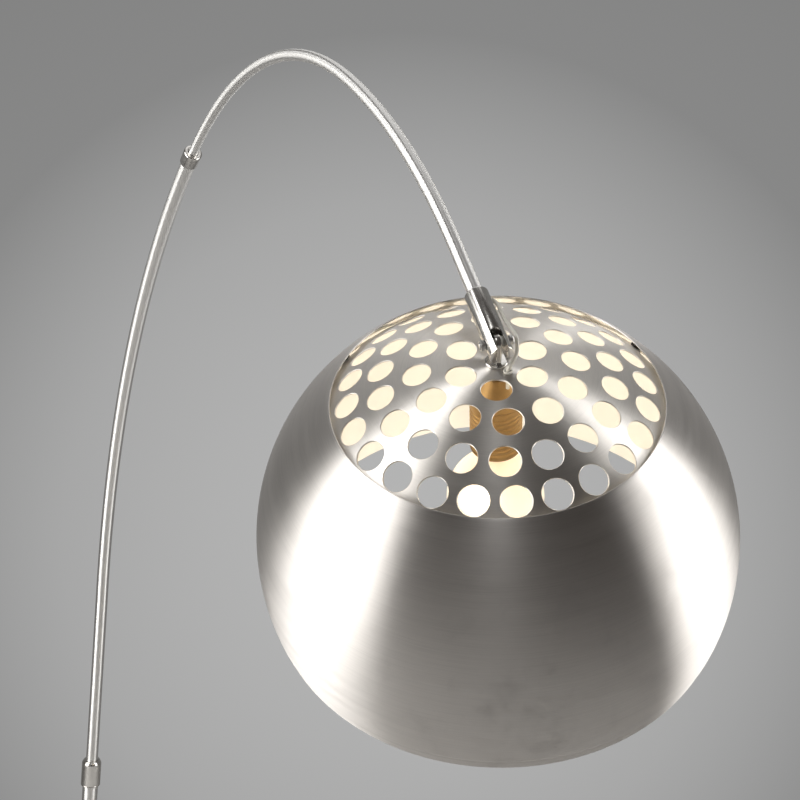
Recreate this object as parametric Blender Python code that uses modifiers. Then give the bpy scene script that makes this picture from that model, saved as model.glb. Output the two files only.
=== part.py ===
"""Arc floor lamp: a round stone foot, three telescoping steel tubes bent into an arc, and a ball shade.

The arc lies in the XZ plane. The origin is on the floor, under the lower tube's axis. +X runs from the tube
towards the shade, +Z is up, and lengths are metres. Profiles of turned pieces are written in millimetres.
"""

import math

import bmesh
import bpy
from mathutils import Matrix, Vector

MM = 0.001

# Foot: felt, stone slab and the flange with the tube's socket.
FOOT_R = 200.0
FELT_TOP = 2.0
SLAB_BOTTOM = 2.3
SLAB_TOP = 52.3
RECESS_R = 35.0
RECESS_TOP = 18.3
FLANGE_BOTTOM = 52.6
SOCKET_FLOOR = 58.6
SOCKET_TOP = 112.6
TUBE_FOOT = 60.0
LEAD_HEIGHT = 11.0

# The three tubes: outer radius and wall.
LOWER_R, LOWER_WALL = 0.0125, 0.0015
MIDDLE_R, MIDDLE_WALL = 0.0095, 0.0012
TOP_R, TOP_WALL = 0.0060, 0.0010

# Centre line of the arc, from the foot to the shade's pivot.
UPRIGHT = 0.430
LOWER_BEND_R = 1.500
LEAN = math.radians(13.0)
LOWER_STRAIGHT = 0.280
MIDDLE_TAIL = 0.170
MIDDLE_STRAIGHT = 0.330
MIDDLE_BEND_R = 0.900
MIDDLE_TURN = math.radians(49.9)
TOP_TAIL = 0.120
TOP_OVERLAP = 0.020
CROWN_BEND_R, CROWN_TURN = 0.510, math.radians(54.4)
DROP_BEND_R, DROP_TURN = 0.770, math.radians(21.9)
TOP_STRAIGHT = 0.080
TUBE_TO_PIVOT = 0.020

# The head's two joints: how far the shade is swivelled about the arm's end, and tilted from it.
HEAD_SWIVEL = math.radians(-19.8)
HEAD_TILT = math.radians(77.7)

# The sleeve's bores and screws, in mm: the slot's half width, the tilt screw's bore, and the lead's hole.
SLOT_HALF = 4.4
SLOT_ARCH_AT = 3.1
PIVOT_BORE_R = 2.75
LEAD_BORE_R = 2.2

# The hanger's flat tongue: its round top and half width in mm, and its half thickness in metres.
TONGUE_R = 6.5
TONGUE_FOOT_HALF = 5.2
TONGUE_HALF = 0.0020

# How far the hanger's round foot stands above the dome's crown, in mm.
FOOT_RISE = 3.2

# Ball shade, in millimetres from the ball's centre along the shade's own axis.
SHADE_DROP = 206.0
SHELL_R = 200.0
SHELL_WALL = 1.2
SHELL_TOP_ANGLE = math.radians(40.1)
SHELL_BOTTOM_ANGLE = math.radians(105.4)
DOME_R = 203.5
DOME_CENTRE = -12.0
DOME_WALL = 1.2
DOME_EDGE_R = 157.0
CROWN_DIP = 5.3
CROWN_DIP_R = 60.0
STEM_HOLE_R = 5.3
HOLE_R = 11.5
DOME_TURN = math.radians(-14.9)
# Each ring of holes in the dome: its radius, how many holes, and its turn in degrees.
HOLE_RINGS = ((30.5, 6, -4.0), (60.5, 12, 4.0), (89.5, 18, 0.0), (115.0, 24, 3.0), (142.0, 30, 6.0))
PAD_R = 137.0
PAD_SIZE = (0.0100, 0.0052, 0.0030)
LEAD_HOLE_AT = (12.8, 4.6)
LEAD_R = 0.0015

# The short length of lead outside the head: points in the sleeve's frame, then in the shade's frame.
LEAD_BY_SLEEVE = (
    (0.0, 7.2, 41.0),
    (0.2, 10.2, 40.2),
    (0.6, 12.4, 35.0),
    (0.8, 12.5, 26.0),
    (1.0, 13.0, 16.0),
    (1.2, 14.8, 7.0),
    (1.2, 15.3, 0.0),
)
LEAD_BY_SHADE = (
    (5.0, 14.4, -6.3),
    (8.5, 11.5, -10.8),
    (11.7, 7.2, -14.0),
    (12.8, 4.7, -17.4),
    (12.8, 4.6, -22.0),
    (12.8, 4.6, -29.0),
    (12.8, 4.6, -35.2),
)

RING_STEPS = 24
FOOT_STEPS = 48
SHELL_STEPS = 56
SMALL_STEPS = 16
HOLE_SIDES = 8
PROFILE_STEPS = 12


def clear_scene():
    for old in list(bpy.data.objects):
        bpy.data.objects.remove(old, do_unlink=True)


def new_collection(name):
    collection = bpy.data.collections.new(name)
    bpy.context.scene.collection.children.link(collection)
    return collection


def material(name, colour, metallic, roughness, alpha=1.0):
    made = bpy.data.materials.new(name)
    made.use_nodes = True
    shader = made.node_tree.nodes["Principled BSDF"]
    shader.inputs["Base Color"].default_value = (*colour, 1.0)
    shader.inputs["Metallic"].default_value = metallic
    shader.inputs["Roughness"].default_value = roughness
    shader.inputs["Alpha"].default_value = alpha
    return made


clear_scene()
LAMP = new_collection("arc_floor_lamp")
CUTTERS = new_collection("cutters")


def add(name, data, parent=None, at=(0, 0, 0), turn=(0, 0, 0), into=None):
    """An object in one of the two collections, placed in its parent's frame."""
    obj = bpy.data.objects.new(name, data)
    (into or LAMP).objects.link(obj)
    obj.parent = parent
    obj.location = at
    obj.rotation_euler = turn
    if into is CUTTERS:
        obj.hide_render = True
        obj.display_type = "WIRE"
    return obj


def joint_frame(name, matrix, parent=None):
    """An empty whose origin is on a joint's axis."""
    empty = bpy.data.objects.new(name, None)
    LAMP.objects.link(empty)
    empty.empty_display_size = 0.03
    empty.parent = parent
    empty.matrix_local = matrix
    return empty


def evaluated_mesh(obj):
    bpy.context.view_layer.update()
    graph = bpy.context.evaluated_depsgraph_get()
    return bpy.data.meshes.new_from_object(obj.evaluated_get(graph))


def baked(obj, own_material=None):
    """The object with its modifiers applied, its loose caps welded, and its round faces shaded smooth."""
    mesh = evaluated_mesh(obj)
    shape = bmesh.new()
    shape.from_mesh(mesh)
    bmesh.ops.remove_doubles(shape, verts=shape.verts, dist=1e-6)
    shape.to_mesh(mesh)
    shape.free()
    mesh.shade_smooth()
    mesh.set_sharp_from_angle(angle=math.radians(35))
    name, parent, collection = obj.name, obj.parent, obj.users_collection[0]
    place = obj.matrix_local.copy()
    old = obj.data
    bpy.data.objects.remove(obj, do_unlink=True)
    if isinstance(old, bpy.types.Mesh):
        bpy.data.meshes.remove(old)
    else:
        bpy.data.curves.remove(old)
    made = add(name, mesh, parent, into=collection)
    made.matrix_local = place
    if own_material:
        mesh.materials.clear()
        mesh.materials.append(own_material)
    return made


def boolean(obj, tool, operation="DIFFERENCE"):
    modifier = obj.modifiers.new(operation.lower(), "BOOLEAN")
    modifier.operation = operation
    modifier.solver = "EXACT"
    modifier.object = tool


def revolve(obj, steps):
    screw = obj.modifiers.new("turn", "SCREW")
    screw.steps = steps
    screw.render_steps = steps
    screw.use_merge_vertices = True
    screw.merge_threshold = 1e-5


def turned(
    name, profile, own_material, parent=None, at=(0, 0, 0), turn=(0, 0, 0), steps=RING_STEPS, into=None
):
    """A turned piece. The profile's points are (radius, height) in mm, down the outer side.

    A profile that starts and ends on the axis is a solid piece, and any other is closed into a ring.
    """
    points = [(radius * MM, 0.0, height * MM) for radius, height in profile]
    edges = [(i, i + 1) for i in range(len(points) - 1)]
    if profile[0][0] > 0 or profile[-1][0] > 0:
        edges.append((len(points) - 1, 0))
    mesh = bpy.data.meshes.new(name)
    mesh.from_pydata(points, edges, [])
    obj = add(name, mesh, parent, at, turn, into)
    revolve(obj, steps)
    return baked(obj, own_material)


def cylinder(name, radius, depth, parent=None, at=(0, 0, 0), turn=(0, 0, 0), sides=SMALL_STEPS, into=None):
    mesh = bpy.data.meshes.new(name)
    shape = bmesh.new()
    bmesh.ops.create_cone(
        shape, cap_ends=True, segments=sides, radius1=radius, radius2=radius, depth=depth
    )
    shape.to_mesh(mesh)
    shape.free()
    return add(name, mesh, parent, at, turn, into)


def block(name, size, parent=None, at=(0, 0, 0), turn=(0, 0, 0), into=None):
    mesh = bpy.data.meshes.new(name)
    shape = bmesh.new()
    bmesh.ops.create_cube(shape, size=1.0)
    bmesh.ops.scale(shape, verts=shape.verts, vec=size)
    shape.to_mesh(mesh)
    shape.free()
    return add(name, mesh, parent, at, turn, into)


def outline(name, points, half_thickness, parent=None, at=(0, 0, 0), turn=(0, 0, 0), into=None):
    """A flat outline, in mm, with a thickness, as one closed mesh."""
    curve = bpy.data.curves.new(name, "CURVE")
    curve.dimensions = "2D"
    curve.fill_mode = "BOTH"
    curve.extrude = half_thickness
    spline = curve.splines.new("POLY")
    spline.points.add(len(points) - 1)
    for point, (x, y) in zip(spline.points, points):
        point.co = (x * MM, y * MM, 0.0, 1.0)
    spline.use_cyclic_u = True
    return baked(add(name, curve, parent, at, turn, into))


def wire(name, points, radius, sides, capped):
    curve = bpy.data.curves.new(name, "CURVE")
    curve.dimensions = "3D"
    curve.bevel_depth = radius
    curve.bevel_resolution = (sides - 4) // 2
    curve.use_fill_caps = capped
    spline = curve.splines.new("POLY")
    spline.points.add(len(points) - 1)
    for point, place in zip(spline.points, points):
        point.co = (*place, 1.0)
    return add(name, curve)


def walk(start, angle, legs):
    """Points along a line in the XZ plane. A leg is (length, bend radius or None, steps).

    The angle is measured from straight up towards +X. Returns the points and the end's angle.
    """
    points = [Vector(start)]
    for length, radius, steps in legs:
        step = length / steps
        for _ in range(steps):
            half_turn = step / radius / 2 if radius else 0.0
            chord = 2 * radius * math.sin(half_turn) if radius else step
            angle += half_turn
            points.append(points[-1] + chord * Vector((math.sin(angle), 0.0, math.cos(angle))))
            angle += half_turn
    return points, angle


def tube(name, points, radius, wall, own_material, frame, sides=12):
    """A hollow tube along the points, which are in world space, kept in its joint frame."""
    skin = baked(wire(name, points, radius, sides, capped=False))
    thickness = skin.modifiers.new("wall", "SOLIDIFY")
    thickness.thickness = wall
    thickness.offset = -1.0
    thickness.use_even_offset = True
    made = baked(skin, own_material)
    made.data.transform(frame.matrix_world.inverted())
    made.parent = frame
    return made


def smooth_route(points, per_span):
    """A Catmull-Rom curve through the points."""
    ends = [2 * points[0] - points[1], *points, 2 * points[-1] - points[-2]]
    route = []
    for before, a, b, after in zip(ends, ends[1:], ends[2:], ends[3:]):
        for k in range(per_span):
            t = k / per_span
            route.append(
                0.5
                * (
                    2 * a
                    + (b - before) * t
                    + (2 * before - 5 * a + 4 * b - after) * t**2
                    + (3 * a - before - 3 * b + after) * t**3
                )
            )
    route.append(points[-1])
    return route


def shell_point(angle, radius):
    return radius * math.sin(angle), radius * math.cos(angle)


def dome_height(radius):
    """Height of the dome's outer face: a ball cap, dipped round its crown."""
    t = min(radius / CROWN_DIP_R, 1.0)
    dip = CROWN_DIP * (1 - t * t * (3 - 2 * t))
    return DOME_CENTRE + math.sqrt(DOME_R**2 - radius**2) - dip


def dome_slope(radius):
    return math.atan2(dome_height(radius - 1) - dome_height(radius + 1), 2)


# Materials, one for each finish.
STONE = material("stone_black", (0.035, 0.035, 0.038), 0.0, 0.25)
FELT = material("felt_grey", (0.12, 0.12, 0.12), 0.0, 0.95)
TUBE_STEEL = material("tube_steel", (0.72, 0.71, 0.70), 1.0, 0.28)
COLLAR_STEEL = material("collar_steel", (0.66, 0.65, 0.63), 1.0, 0.18)
SCREW_STEEL = material("screw_steel", (0.55, 0.55, 0.56), 1.0, 0.35)
BUSH_PLASTIC = material("bush_plastic", (0.80, 0.79, 0.74), 0.0, 0.5)
SHADE_METAL = material("shade_metal", (0.70, 0.69, 0.67), 1.0, 0.32)
DOME_METAL = material("dome_metal", (0.70, 0.69, 0.67), 1.0, 0.30)
PAD_RUBBER = material("pad_rubber", (0.02, 0.02, 0.02), 0.0, 0.7)
HOLDER_BRASS = material("holder_brass", (0.55, 0.38, 0.17), 1.0, 0.35)
CAP_ALUMINIUM = material("bulb_cap_metal", (0.75, 0.75, 0.76), 1.0, 0.3)
OPAL_GLASS = material("opal_glass", (1.0, 0.93, 0.82), 0.0, 0.2, alpha=0.9)
LEAD_PLASTIC = material("lead_plastic", (0.86, 0.85, 0.80), 0.0, 0.25)
GLAND_PLASTIC = material("gland_plastic", (0.03, 0.03, 0.03), 0.0, 0.5)


# Frames of the joints.
POST_FRAME = joint_frame("post_axis", Matrix())
LOWER_LEGS = ((UPRIGHT, None, 2), (LOWER_BEND_R * LEAN, LOWER_BEND_R, 4), (LOWER_STRAIGHT, None, 2))
LOWER_LINE, _ = walk((0, 0, TUBE_FOOT * MM), 0.0, LOWER_LEGS)
LOWER_END = LOWER_LINE[-1]
COLLAR_FRAME = joint_frame("lower_collar_axis", Matrix.Translation(LOWER_END) @ Matrix.Rotation(LEAN, 4, "Y"))
MIDDLE_LEGS = ((MIDDLE_STRAIGHT, None, 2), (MIDDLE_BEND_R * MIDDLE_TURN, MIDDLE_BEND_R, 16))
MIDDLE_LINE, UPPER_ANGLE = walk(LOWER_END, LEAN, MIDDLE_LEGS)
UPPER_END = MIDDLE_LINE[-1]
UPPER_TURN = Matrix.Rotation(UPPER_ANGLE, 4, "Y")
UPPER_FRAME = joint_frame("upper_collar_axis", Matrix.Translation(UPPER_END) @ UPPER_TURN)
TOP_LEGS = (
    (TOP_OVERLAP, MIDDLE_BEND_R, 1),
    (CROWN_BEND_R * CROWN_TURN, CROWN_BEND_R, 13),
    (DROP_BEND_R * DROP_TURN, DROP_BEND_R, 5),
    (TOP_STRAIGHT, None, 1),
)
TOP_LINE, END_ANGLE = walk(UPPER_END, UPPER_ANGLE, TOP_LEGS)
END_WAY = Vector((math.sin(END_ANGLE), 0.0, math.cos(END_ANGLE)))
PIVOT = TOP_LINE[-1] + TUBE_TO_PIVOT * END_WAY
SWIVEL_TURN = Matrix.Rotation(END_ANGLE - math.pi, 4, "Y") @ Matrix.Rotation(HEAD_SWIVEL, 4, "Z")
SWIVEL_FRAME = joint_frame("head_swivel_axis", Matrix.Translation(PIVOT) @ SWIVEL_TURN)
TILT_FRAME = joint_frame("head_tilt_axis", Matrix.Rotation(HEAD_TILT, 4, "Y"), SWIVEL_FRAME)
BALL_FRAME = joint_frame("ball_centre", Matrix.Translation((0, 0, -SHADE_DROP * MM)), TILT_FRAME)
bpy.context.view_layer.update()


def make_foot():
    slab = turned(
        "base_slab",
        (
            (7, SLAB_TOP),
            (FOOT_R - 4, SLAB_TOP),
            (FOOT_R - 1, SLAB_TOP - 1),
            (FOOT_R, SLAB_TOP - 4),
            (FOOT_R, SLAB_BOTTOM + 3),
            (FOOT_R - 3, SLAB_BOTTOM),
            (RECESS_R, SLAB_BOTTOM),
            (RECESS_R, RECESS_TOP),
            (7, RECESS_TOP),
        ),
        STONE,
        steps=FOOT_STEPS,
    )
    along_x = (0, math.radians(90), 0)
    channel = cylinder(
        "lead_channel_cut",
        0.0040,
        0.19,
        at=(-0.115, 0, LEAD_HEIGHT * MM),
        turn=along_x,
        sides=SMALL_STEPS,
        into=CUTTERS,
    )
    boolean(slab, channel)
    turned(
        "base_felt",
        ((0, FELT_TOP), (FOOT_R - 4, FELT_TOP), (FOOT_R - 4, 0), (0, 0)),
        FELT,
        steps=FOOT_STEPS,
    )
    turned(
        "base_flange",
        (
            (12.9, SOCKET_TOP),
            (16.2, SOCKET_TOP),
            (17.0, SOCKET_TOP - 0.8),
            (17.0, 76.0),
            (18.2, 69.0),
            (22.0, 64.2),
            (30.0, 61.4),
            (52.0, 57.6),
            (54.6, 56.2),
            (55.0, FLANGE_BOTTOM),
            (6.8, FLANGE_BOTTOM),
            (6.8, SOCKET_FLOOR),
            (12.9, SOCKET_FLOOR),
        ),
        TUBE_STEEL,
    )
    turned(
        "base_washer",
        ((6.6, RECESS_TOP - 0.3), (25, RECESS_TOP - 0.3), (25, 15.0), (6.6, 15.0)),
        SCREW_STEEL,
    )
    shank = cylinder("base_bolt_shank", 0.0060, 0.077, at=(0, 0, 0.0515), into=CUTTERS)
    bolt = cylinder("base_bolt", 0.0109, 0.0072, at=(0, 0, 0.0111), sides=6)
    bolt.data.materials.append(SCREW_STEEL)
    boolean(bolt, shank, "UNION")
    turned(
        "lead_gland",
        ((2.4, 3.0), (6.5, 3.0), (7.5, 2.0), (7.5, 0.4), (3.6, 0.4), (3.6, -9.0), (2.4, -9.0)),
        GLAND_PLASTIC,
        at=(-FOOT_R * MM, 0, LEAD_HEIGHT * MM),
        turn=(0, math.radians(-90), 0),
        steps=16,
    )


def make_lower_tube():
    end = LOWER_END + 0.008 * (LOWER_LINE[-1] - LOWER_LINE[-2]).normalized()
    tube("lower_tube", [*LOWER_LINE[:-1], end], LOWER_R, LOWER_WALL, TUBE_STEEL, POST_FRAME)
    turned(
        "foot_plug",
        ((0, 100), (9.4, 100), (10.3, 99), (10.3, TUBE_FOOT), (6.3, TUBE_FOOT), (6.3, 94), (0, 94)),
        SCREW_STEEL,
        POST_FRAME,
        steps=24,
    )
    collar = turned(
        "lower_collar",
        (
            (9.8, 23),
            (11.2, 23),
            (13.0, 22),
            (14.6, 19.6),
            (15.6, 15),
            (15.6, -19.5),
            (15.1, -21),
            (12.9, -21),
            (12.9, 8.6),
            (9.8, 8.6),
        ),
        COLLAR_STEEL,
        COLLAR_FRAME,
    )
    to_the_back = (0, math.radians(-90), 0)
    hole = cylinder(
        "lower_screw_cut", 0.0029, 0.02, COLLAR_FRAME, (-0.016, 0, 0.0135), to_the_back, into=CUTTERS
    )
    boolean(collar, hole)
    lock_screw("lower_lock_screw", COLLAR_FRAME, (-0.0100, 0, 0.0135), to_the_back)
    turned(
        "lower_guide_bush",
        ((9.8, 8.0), (10.5, 8.0), (10.5, -34), (9.8, -34)),
        BUSH_PLASTIC,
        COLLAR_FRAME,
    )


def lock_screw(name, frame, at, turn, radius=2.5, length=6.0):
    """A set screw with a round drive hole in its outer end."""
    return turned(
        name,
        (
            (0, length - 2.4),
            (1.2, length - 2.4),
            (1.2, length),
            (radius - 0.4, length),
            (radius, length - 0.4),
            (radius, 0.9),
            (radius - 0.9, 0),
            (0, 0),
        ),
        SCREW_STEEL,
        frame,
        at,
        turn,
        steps=12,
    )


def make_middle_tube():
    way = Vector((math.sin(LEAN), 0, math.cos(LEAN)))
    line = [LOWER_END - MIDDLE_TAIL * way, *MIDDLE_LINE]
    tube("middle_tube", line, MIDDLE_R, MIDDLE_WALL, TUBE_STEEL, COLLAR_FRAME)
    collar = turned(
        "upper_collar",
        (
            (6.4, 11.6),
            (9.6, 11.6),
            (11.3, 10.2),
            (11.7, 8),
            (11.7, -8.6),
            (11.1, -10),
            (9.9, -10),
            (9.9, 0.4),
            (6.4, 0.4),
        ),
        COLLAR_STEEL,
        UPPER_FRAME,
    )
    to_the_back = (0, math.radians(-90), 0)
    hole = cylinder(
        "upper_screw_cut", 0.0024, 0.02, UPPER_FRAME, (-0.0125, 0, 0.0066), to_the_back, into=CUTTERS
    )
    boolean(collar, hole)
    lock_screw("upper_lock_screw", UPPER_FRAME, (-0.0066, 0, 0.0066), to_the_back, radius=2.0, length=4.4)
    turned(
        "upper_guide_bush",
        ((6.4, 0), (7.5, 0), (7.5, -16), (6.4, -16)),
        BUSH_PLASTIC,
        UPPER_FRAME,
        steps=24,
    )


def make_top_tube():
    tail_turn = TOP_TAIL / MIDDLE_BEND_R
    start, _ = walk(UPPER_END, UPPER_ANGLE + math.pi, ((TOP_TAIL, -MIDDLE_BEND_R, 4),))
    tail, _ = walk(start[-1], UPPER_ANGLE - tail_turn, ((TOP_TAIL, MIDDLE_BEND_R, 4),))
    tube("top_tube", [*tail[:-1], *TOP_LINE], TOP_R, TOP_WALL, TUBE_STEEL, UPPER_FRAME, sides=10)


def make_sleeve():
    sleeve = turned(
        "head_sleeve",
        (
            (6.4, 49),
            (8.4, 49),
            (9.2, 48.2),
            (9.5, 47),
            (9.5, -12),
            (8.7, -13),
            (3, -13),
            (3, 19.4),
            (6.4, 19.4),
        ),
        COLLAR_STEEL,
        SWIVEL_FRAME,
    )
    arch = [
        (SLOT_HALF * math.cos(a), SLOT_ARCH_AT + SLOT_HALF * math.sin(a))
        for a in (k * math.pi / 12 for k in range(13))
    ]
    slot_points = [(SLOT_HALF, -20), *arch, (-SLOT_HALF, -20)]
    across = (math.radians(90), 0, math.radians(90))
    slot = outline("sleeve_slot_cut", slot_points, 0.012, SWIVEL_FRAME, turn=across, into=CUTTERS)
    boolean(sleeve, slot)
    along_y = (math.radians(90), 0, 0)
    pin = cylinder("sleeve_pivot_cut", PIVOT_BORE_R * MM, 0.03, SWIVEL_FRAME, turn=along_y, into=CUTTERS)
    boolean(sleeve, pin)
    lead = cylinder(
        "sleeve_lead_cut", LEAD_BORE_R * MM, 0.008, SWIVEL_FRAME, (0, 0.0094, 0.0405), along_y, into=CUTTERS
    )
    boolean(sleeve, lead)
    to_the_back = (0, math.radians(-90), 0)
    grub = cylinder(
        "sleeve_screw_cut", 0.0024, 0.008, SWIVEL_FRAME, (-0.0094, 0, 0.032), to_the_back, into=CUTTERS
    )
    boolean(sleeve, grub)
    lock_screw("sleeve_lock_screw", SWIVEL_FRAME, (-0.0066, 0, 0.032), to_the_back, radius=2.0, length=3.4)
    turned(
        "tilt_screw",
        (
            (0, 11.9),
            (1.2, 11.9),
            (1.2, 12.9),
            (3.2, 12.9),
            (4.0, 11.9),
            (4.0, 9.8),
            (2.4, 9.8),
            (2.4, -13.2),
            (2.0, -13.8),
            (0, -13.8),
        ),
        SCREW_STEEL,
        SWIVEL_FRAME,
        turn=(math.radians(-90), 0, 0),
        steps=16,
    )
    nut = cylinder("tilt_nut", 0.0046, 0.0032, SWIVEL_FRAME, (0, -0.0114, 0), along_y, sides=6)
    nut.data.materials.append(SCREW_STEEL)
    bore = cylinder(
        "tilt_nut_cut", PIVOT_BORE_R * MM, 0.01, SWIVEL_FRAME, (0, -0.0114, 0), along_y, SMALL_STEPS, CUTTERS
    )
    boolean(nut, bore)
    for side, name in ((-1, "tilt_spacer_left"), (1, "tilt_spacer_right")):
        turned(
            name,
            ((PIVOT_BORE_R, 1.0), (4.0, 1.0), (4.0, -1.0), (PIVOT_BORE_R, -1.0)),
            BUSH_PLASTIC,
            SWIVEL_FRAME,
            (0, side * 0.0032, 0),
            along_y,
            steps=16,
        )


def make_hanger():
    """The tongue that hangs in the sleeve's slot, its round foot and its threaded stem, in one piece."""
    crown = dome_height(0)
    foot_top = crown + FOOT_RISE
    hanger = turned(
        "shade_hanger",
        (
            (0, foot_top),
            (7.6, foot_top),
            (9.0, foot_top - 1.2),
            (9.0, crown + 0.35),
            (4.9, crown + 0.35),
            (4.9, 165),
            (0, 165),
        ),
        COLLAR_STEEL,
        BALL_FRAME,
        steps=24,
    )
    around = [
        (TONGUE_R * math.sin(a), TONGUE_R * math.cos(a)) for a in (math.radians(-100 + 20 * k) for k in range(11))
    ]
    foot_level = foot_top - SHADE_DROP - 1.0
    tongue_points = [(-TONGUE_FOOT_HALF, foot_level), *around, (TONGUE_FOOT_HALF, foot_level)]
    upright = (math.radians(90), 0, 0)
    tongue = outline("hanger_tongue_add", tongue_points, TONGUE_HALF, TILT_FRAME, turn=upright, into=CUTTERS)
    boolean(hanger, tongue, "UNION")
    bore = cylinder(
        "hanger_bore_cut", PIVOT_BORE_R * MM, 0.01, TILT_FRAME, turn=upright, sides=SMALL_STEPS, into=CUTTERS
    )
    boolean(hanger, bore)
    turned(
        "dome_washer",
        ((5.2, crown - 1.7), (8.6, crown - 1.7), (8.6, crown - 2.7), (5.2, crown - 2.7)),
        SCREW_STEEL,
        BALL_FRAME,
        steps=20,
    )
    nut = cylinder("dome_lock_nut", 0.0096, 0.0050, BALL_FRAME, (0, 0, (crown - 5.5) * MM), sides=6)
    nut.data.materials.append(SCREW_STEEL)
    thread = cylinder("dome_nut_cut", 0.0052, 0.012, BALL_FRAME, (0, 0, (crown - 5.5) * MM), into=CUTTERS)
    boolean(nut, thread)


def hole_cutters():
    """One mesh of all the round cutters: each stands square to the dome where it cuts."""
    shape = bmesh.new()
    places = [
        (radius, DOME_TURN + math.radians(turn + 360 / count * k), HOLE_R)
        for radius, count, turn in HOLE_RINGS
        for k in range(count)
    ]
    places.append((math.hypot(*LEAD_HOLE_AT), math.atan2(LEAD_HOLE_AT[1], LEAD_HOLE_AT[0]), 2.7))
    for radius, azimuth, hole_r in places:
        lean = Matrix.Rotation(dome_slope(radius), 4, "Y")
        out = Matrix.Translation((radius * MM, 0, (dome_height(radius) - DOME_WALL / 2) * MM))
        bmesh.ops.create_cone(
            shape,
            cap_ends=True,
            segments=HOLE_SIDES,
            radius1=hole_r * MM,
            radius2=hole_r * MM,
            depth=0.012,
            matrix=Matrix.Rotation(azimuth, 4, "Z") @ out @ lean,
        )
    mesh = bpy.data.meshes.new("dome_holes_cut")
    shape.to_mesh(mesh)
    shape.free()
    return add("dome_holes_cut", mesh, BALL_FRAME, into=CUTTERS)


def make_dome():
    rings = (STEM_HOLE_R, 20, 45, 75, 102, 128, DOME_EDGE_R)
    mesh = bpy.data.meshes.new("perforated_dome")
    points = [(radius * MM, 0.0, dome_height(radius) * MM) for radius in rings]
    mesh.from_pydata(points, [(i, i + 1) for i in range(len(points) - 1)], [])
    dome = add("perforated_dome", mesh, BALL_FRAME)
    revolve(dome, 30)
    wall = dome.modifiers.new("wall", "SOLIDIFY")
    wall.thickness = DOME_WALL * MM
    wall.offset = -1.0
    dome = baked(dome, DOME_METAL)
    boolean(dome, hole_cutters())
    shell_angle = math.asin(PAD_R / (SHELL_R - SHELL_WALL))
    inside_shell = shell_point(shell_angle, SHELL_R - SHELL_WALL)[1]
    pad_height = (inside_shell + dome_height(PAD_R)) / 2
    for k, name in enumerate(("rim_pad_front", "rim_pad_right", "rim_pad_left")):
        azimuth = DOME_TURN + math.radians(120 * k)
        at = (PAD_R * MM * math.cos(azimuth), PAD_R * MM * math.sin(azimuth), pad_height * MM)
        pad = block(name, PAD_SIZE, BALL_FRAME, at)
        pad.rotation_euler = (0, (shell_angle + dome_slope(PAD_R)) / 2, azimuth)
        pad.data.materials.append(PAD_RUBBER)


def make_shell():
    mesh = bpy.data.meshes.new("ball_shell")
    points = []
    for k in range(PROFILE_STEPS + 1):
        angle = SHELL_TOP_ANGLE + (SHELL_BOTTOM_ANGLE - SHELL_TOP_ANGLE) * k / PROFILE_STEPS
        out, up = shell_point(angle, SHELL_R)
        points.append((out * MM, 0.0, up * MM))
    mesh.from_pydata(points, [(i, i + 1) for i in range(PROFILE_STEPS)], [])
    shell = add("ball_shell", mesh, BALL_FRAME)
    revolve(shell, SHELL_STEPS)
    wall = shell.modifiers.new("wall", "SOLIDIFY")
    wall.thickness = SHELL_WALL * MM
    wall.offset = -1.0
    baked(shell, SHADE_METAL)


def make_lampholder():
    turned(
        "lampholder_cap",
        (
            (5.2, 175.0),
            (7.6, 175.0),
            (9.4, 173.6),
            (12.2, 168.0),
            (16.6, 161.4),
            (20.0, 157.2),
            (21.0, 154.0),
            (21.0, 151.6),
            (19.2, 151.6),
            (18.4, 156.4),
            (11.0, 166.6),
            (7.6, 172.0),
            (5.2, 172.0),
        ),
        HOLDER_BRASS,
        BALL_FRAME,
    )
    turned(
        "lampholder_body",
        (
            (18.6, 151.2),
            (20.6, 151.2),
            (20.6, 106.0),
            (19.6, 103.0),
            (14.2, 103.0),
            (14.2, 129.0),
            (5.0, 129.0),
            (5.0, 133.0),
            (18.6, 133.0),
        ),
        HOLDER_BRASS,
        BALL_FRAME,
    )
    turned(
        "holder_contact",
        ((0, 134.6), (6.8, 134.6), (6.8, 133.4), (4.5, 133.4), (4.5, 127.4), (0, 127.0)),
        HOLDER_BRASS,
        BALL_FRAME,
        steps=16,
    )


def make_bulb():
    globe_r, globe_centre, wall = 40.0, 46.0, 1.2
    outer = [shell_point(math.radians(a), globe_r) for a in range(24, 181, 13)]
    inner = [shell_point(math.radians(a), globe_r - wall) for a in range(180, 23, -13)]
    profile = [(abs(r) if abs(r) > 1e-6 else 0.0, globe_centre + z) for r, z in inner]
    profile += [(12.6, 88.0), (11.2, 94.0), (11.2, 101.2), (12.4, 101.2), (12.4, 94.0), (13.9, 87.2)]
    profile += [(abs(r) if abs(r) > 1e-6 else 0.0, globe_centre + z) for r, z in outer]
    turned("bulb_globe", profile, OPAL_GLASS, BALL_FRAME, steps=20)
    turned(
        "bulb_cap",
        (
            (0, 126.6),
            (4.6, 126.6),
            (5.4, 124.6),
            (10.6, 122.6),
            (13.0, 119.6),
            (13.4, 114.0),
            (13.4, 103.0),
            (12.8, 101.6),
            (0, 101.6),
        ),
        CAP_ALUMINIUM,
        BALL_FRAME,
        steps=24,
    )


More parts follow.
